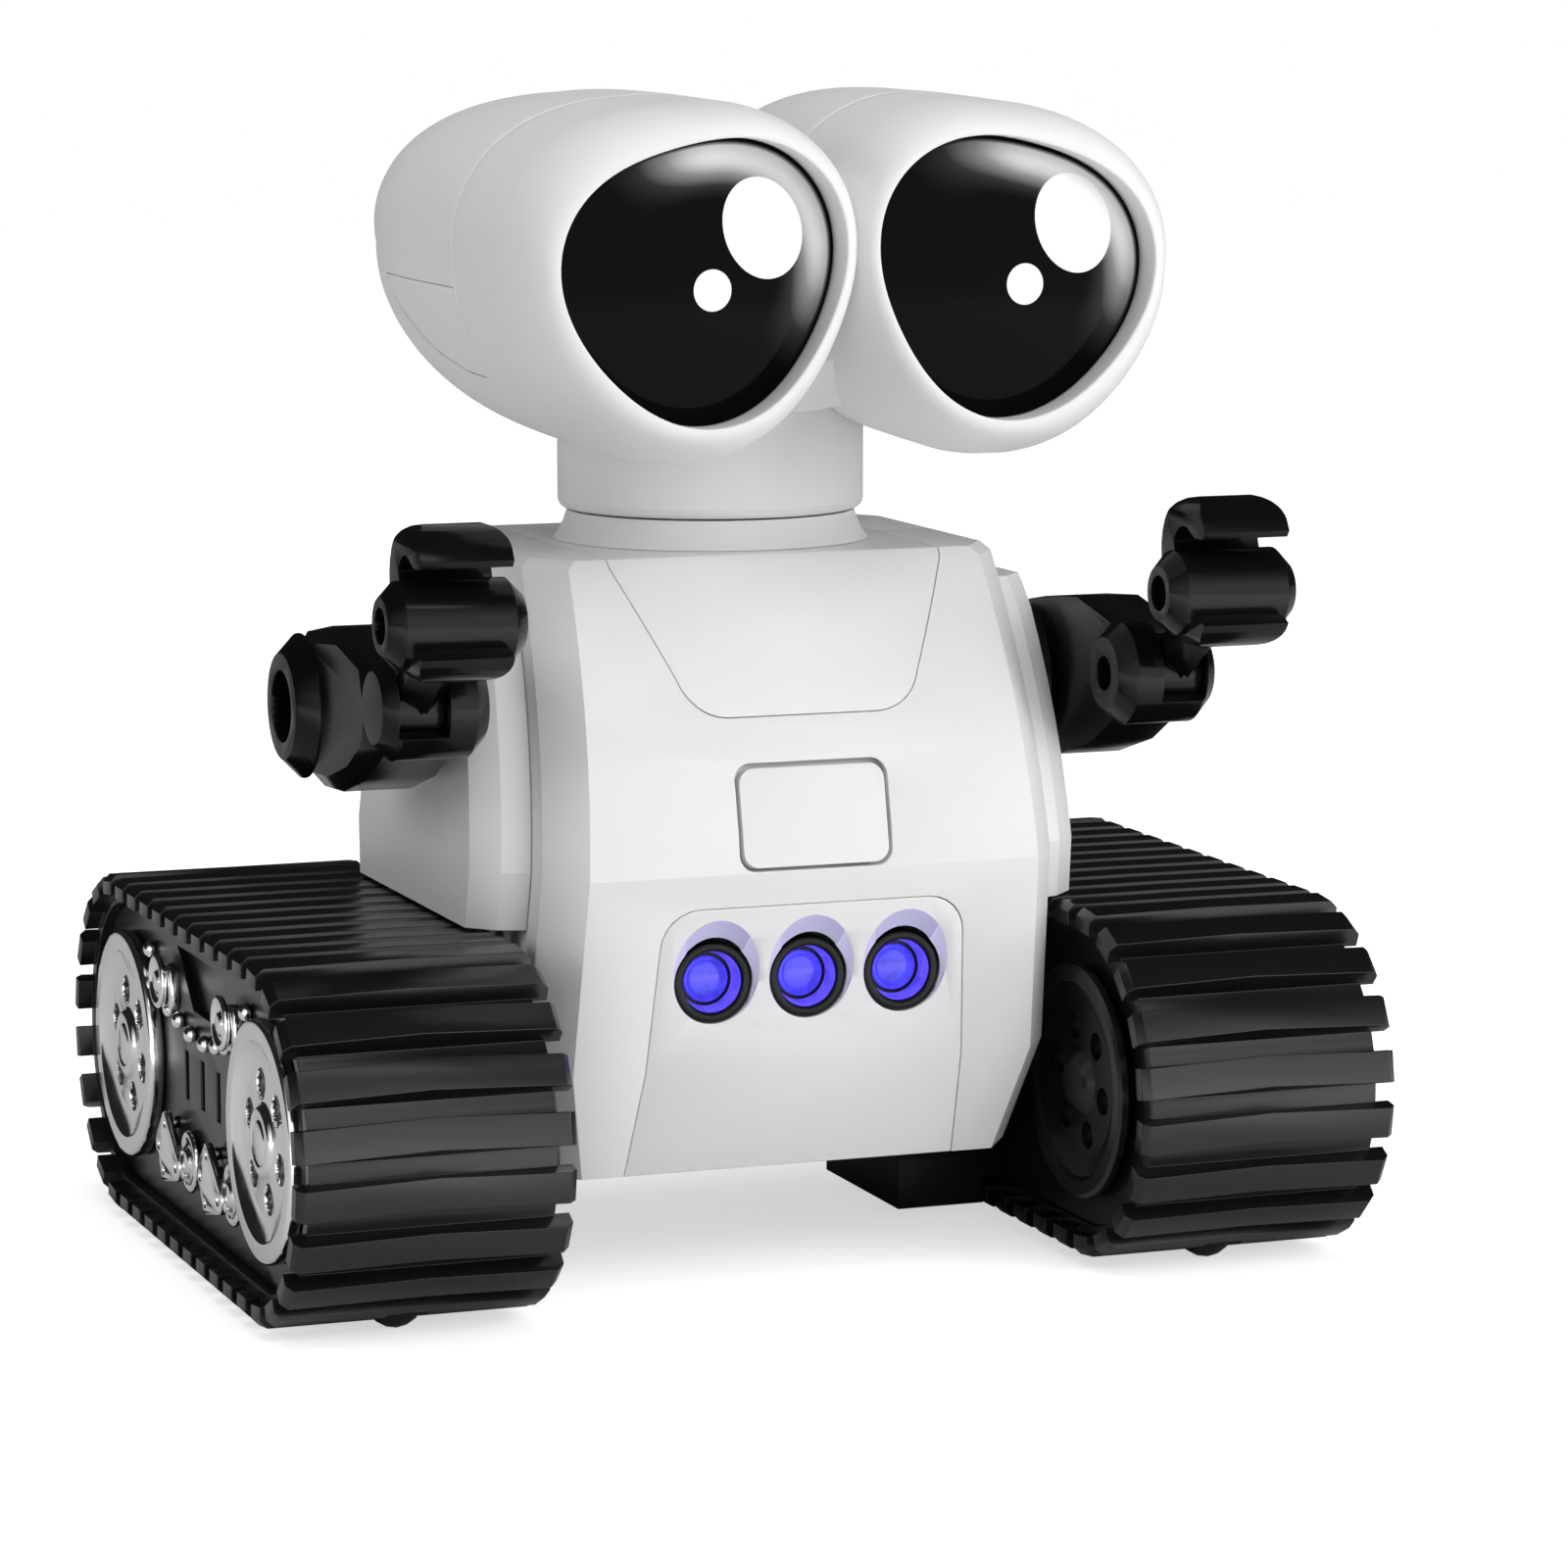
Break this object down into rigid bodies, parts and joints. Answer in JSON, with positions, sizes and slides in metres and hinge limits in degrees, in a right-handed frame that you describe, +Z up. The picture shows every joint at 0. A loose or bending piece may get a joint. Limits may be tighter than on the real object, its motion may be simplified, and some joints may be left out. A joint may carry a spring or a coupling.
{
  "type": "toy robot car",
  "caption": "Toy robot car: faceted torso on two crawler-style pods with hidden drive wheels, a turning two-lobed head with black eye lenses, jointed arms with hooked hands.",
  "frame": {"origin": "on the floor under the neck's axis, midway between the two pods", "axes": "+Z up, the robot faces -Y, and its own left side is +X; nodes named left_ are on +X"},
  "size_m": [0.2, 0.1566, 0.2081],
  "materials": {
    "shell_white": "satin moulded white",
    "arm_black": "semi-gloss moulded black",
    "track_black": "satin moulded black",
    "trim_chrome": "bright vacuum-metallised plastic",
    "lens_black": "polished black with printed white highlights",
    "lamp_violet": "clear tinted, lit from behind",
    "steel": "plain",
    "circuit_green": "solder mask",
    "tyre_rubber": "smooth",
    "gear_nylon": "natural nylon",
    "pinion_brass": "machined",
    "cell_blue": "printed sleeve",
    "frame_black": "fine texture"
  },
  "bodies": {
    "torso": {"chassis_base": "frame_black", "torso_front_shell": "shell_white", "torso_rear_shell": "shell_white", "left_side_panel": "shell_white", "right_side_panel": "shell_white", "chest_plate": "shell_white", "lamp_panel": "shell_white", "lamp_bezels": "frame_black", "lamp_lenses": "lamp_violet", "lamp_board": "circuit_green", "neck_collar": "shell_white", "battery_door": "shell_white", "battery_pack": "cell_blue", "control_board": "circuit_green", "speaker": "frame_black", "charge_port": "steel", "body_screws": "steel", "gear_cases": "frame_black", "drive_motors": "steel", "left_track_shell": "track_black", "left_outer_plate": "track_black", "left_inner_plate": "track_black", "left_hub_discs": "trim_chrome", "left_side_trim": "trim_chrome", "right_track_shell": "track_black", "right_outer_plate": "track_black", "right_inner_plate": "track_black", "right_hub_discs": "trim_chrome", "right_side_trim": "trim_chrome"},
    "button": {"chest_button": "shell_white"},
    "switch_knob": {"power_switch": "frame_black"},
    "head": {"head_neck": "shell_white", "head_front_shell": "shell_white", "head_rear_shell": "shell_white", "head_side_covers": "shell_white", "left_eye_lens": "lens_black", "right_eye_lens": "lens_black", "eye_board": "frame_black"},
    "left_upper_arm": {"left_upper_arm": "arm_black", "left_elbow_pin": "steel"},
    "left_forearm": {"left_forearm": "arm_black"},
    "left_hand": {"left_hand": "arm_black", "left_wrist_pin": "steel"},
    "left_wheel": {"left_axle": "steel", "left_drive_gear": "gear_nylon", "left_drive_wheel": "shell_white", "left_tyre": "tyre_rubber"},
    "left_pinion": {"left_motor_pinion": "pinion_brass"},
    "left_roller": {"left_front_roller": "track_black"},
    "right_upper_arm": {"right_upper_arm": "arm_black", "right_elbow_pin": "steel"},
    "right_forearm": {"right_forearm": "arm_black"},
    "right_hand": {"right_hand": "arm_black", "right_wrist_pin": "steel"},
    "right_wheel": {"right_axle": "steel", "right_drive_gear": "gear_nylon", "right_drive_wheel": "shell_white", "right_tyre": "tyre_rubber"},
    "right_pinion": {"right_motor_pinion": "pinion_brass"},
    "right_roller": {"right_front_roller": "track_black"}
  },
  "joints": [
    {"name": "head_turn", "type": "hinge", "parent": "torso", "child": "head", "pos_m": [0, 0, 0.1333], "axis": [0, 0, 1], "range_deg": [-60, 60]},
    {"name": "chest_button_press", "type": "slide", "parent": "torso", "child": "button", "axis": [0, 1, 0], "range_m": [0, 0.0012], "stiffness_N_per_m": 500, "springref_m": -0.001},
    {"name": "power_switch_slide", "type": "slide", "parent": "torso", "child": "switch_knob", "axis": [1, 0, 0], "range_m": [0, 0.0045]},
    {"name": "left_shoulder", "type": "hinge", "parent": "torso", "child": "left_upper_arm", "pos_m": [0.058, 0, 0.1005], "axis": [1, 0, 0], "range_deg": [-15, 30]},
    {"name": "left_elbow", "type": "hinge", "parent": "left_upper_arm", "child": "left_forearm", "pos_m": [0.0699, -0.0445, 0.1055], "axis": [-1, 0, 0], "range_deg": [-25, 25]},
    {"name": "left_wrist", "type": "hinge", "parent": "left_forearm", "child": "left_hand", "pos_m": [0.0699, -0.0675, 0.1221], "axis": [-1, 0, 0], "range_deg": [-20, 20]},
    {"name": "left_wheel_spin", "type": "hinge", "parent": "torso", "child": "left_wheel", "pos_m": [0.07575, 0.018, 0.016], "axis": [1, 0, 0], "continuous": true},
    {"name": "left_pinion_spin", "type": "hinge", "parent": "torso", "child": "left_pinion", "pos_m": [0.0386, 0.018, 0.03052], "axis": [1, 0, 0], "continuous": true},
    {"name": "left_roller_spin", "type": "hinge", "parent": "torso", "child": "left_roller", "pos_m": [0.07575, -0.0505, 0.0065], "axis": [1, 0, 0], "continuous": true},
    {"name": "right_shoulder", "type": "hinge", "parent": "torso", "child": "right_upper_arm", "pos_m": [-0.058, 0, 0.1005], "axis": [1, 0, 0], "range_deg": [-15, 30]},
    {"name": "right_elbow", "type": "hinge", "parent": "right_upper_arm", "child": "right_forearm", "pos_m": [-0.0699, -0.0445, 0.1055], "axis": [-1, 0, 0], "range_deg": [-25, 25]},
    {"name": "right_wrist", "type": "hinge", "parent": "right_forearm", "child": "right_hand", "pos_m": [-0.0699, -0.0675, 0.1221], "axis": [-1, 0, 0], "range_deg": [-20, 20]},
    {"name": "right_wheel_spin", "type": "hinge", "parent": "torso", "child": "right_wheel", "pos_m": [-0.07575, 0.018, 0.016], "axis": [1, 0, 0], "continuous": true},
    {"name": "right_pinion_spin", "type": "hinge", "parent": "torso", "child": "right_pinion", "pos_m": [-0.0386, 0.018, 0.03052], "axis": [1, 0, 0], "continuous": true},
    {"name": "right_roller_spin", "type": "hinge", "parent": "torso", "child": "right_roller", "pos_m": [-0.07575, -0.0505, 0.0065], "axis": [1, 0, 0], "continuous": true}
  ],
  "couplings": [
    {"joint": "left_pinion_spin", "follows": "left_wheel_spin", "ratio": -3},
    {"joint": "right_pinion_spin", "follows": "right_wheel_spin", "ratio": -3}
  ]
}
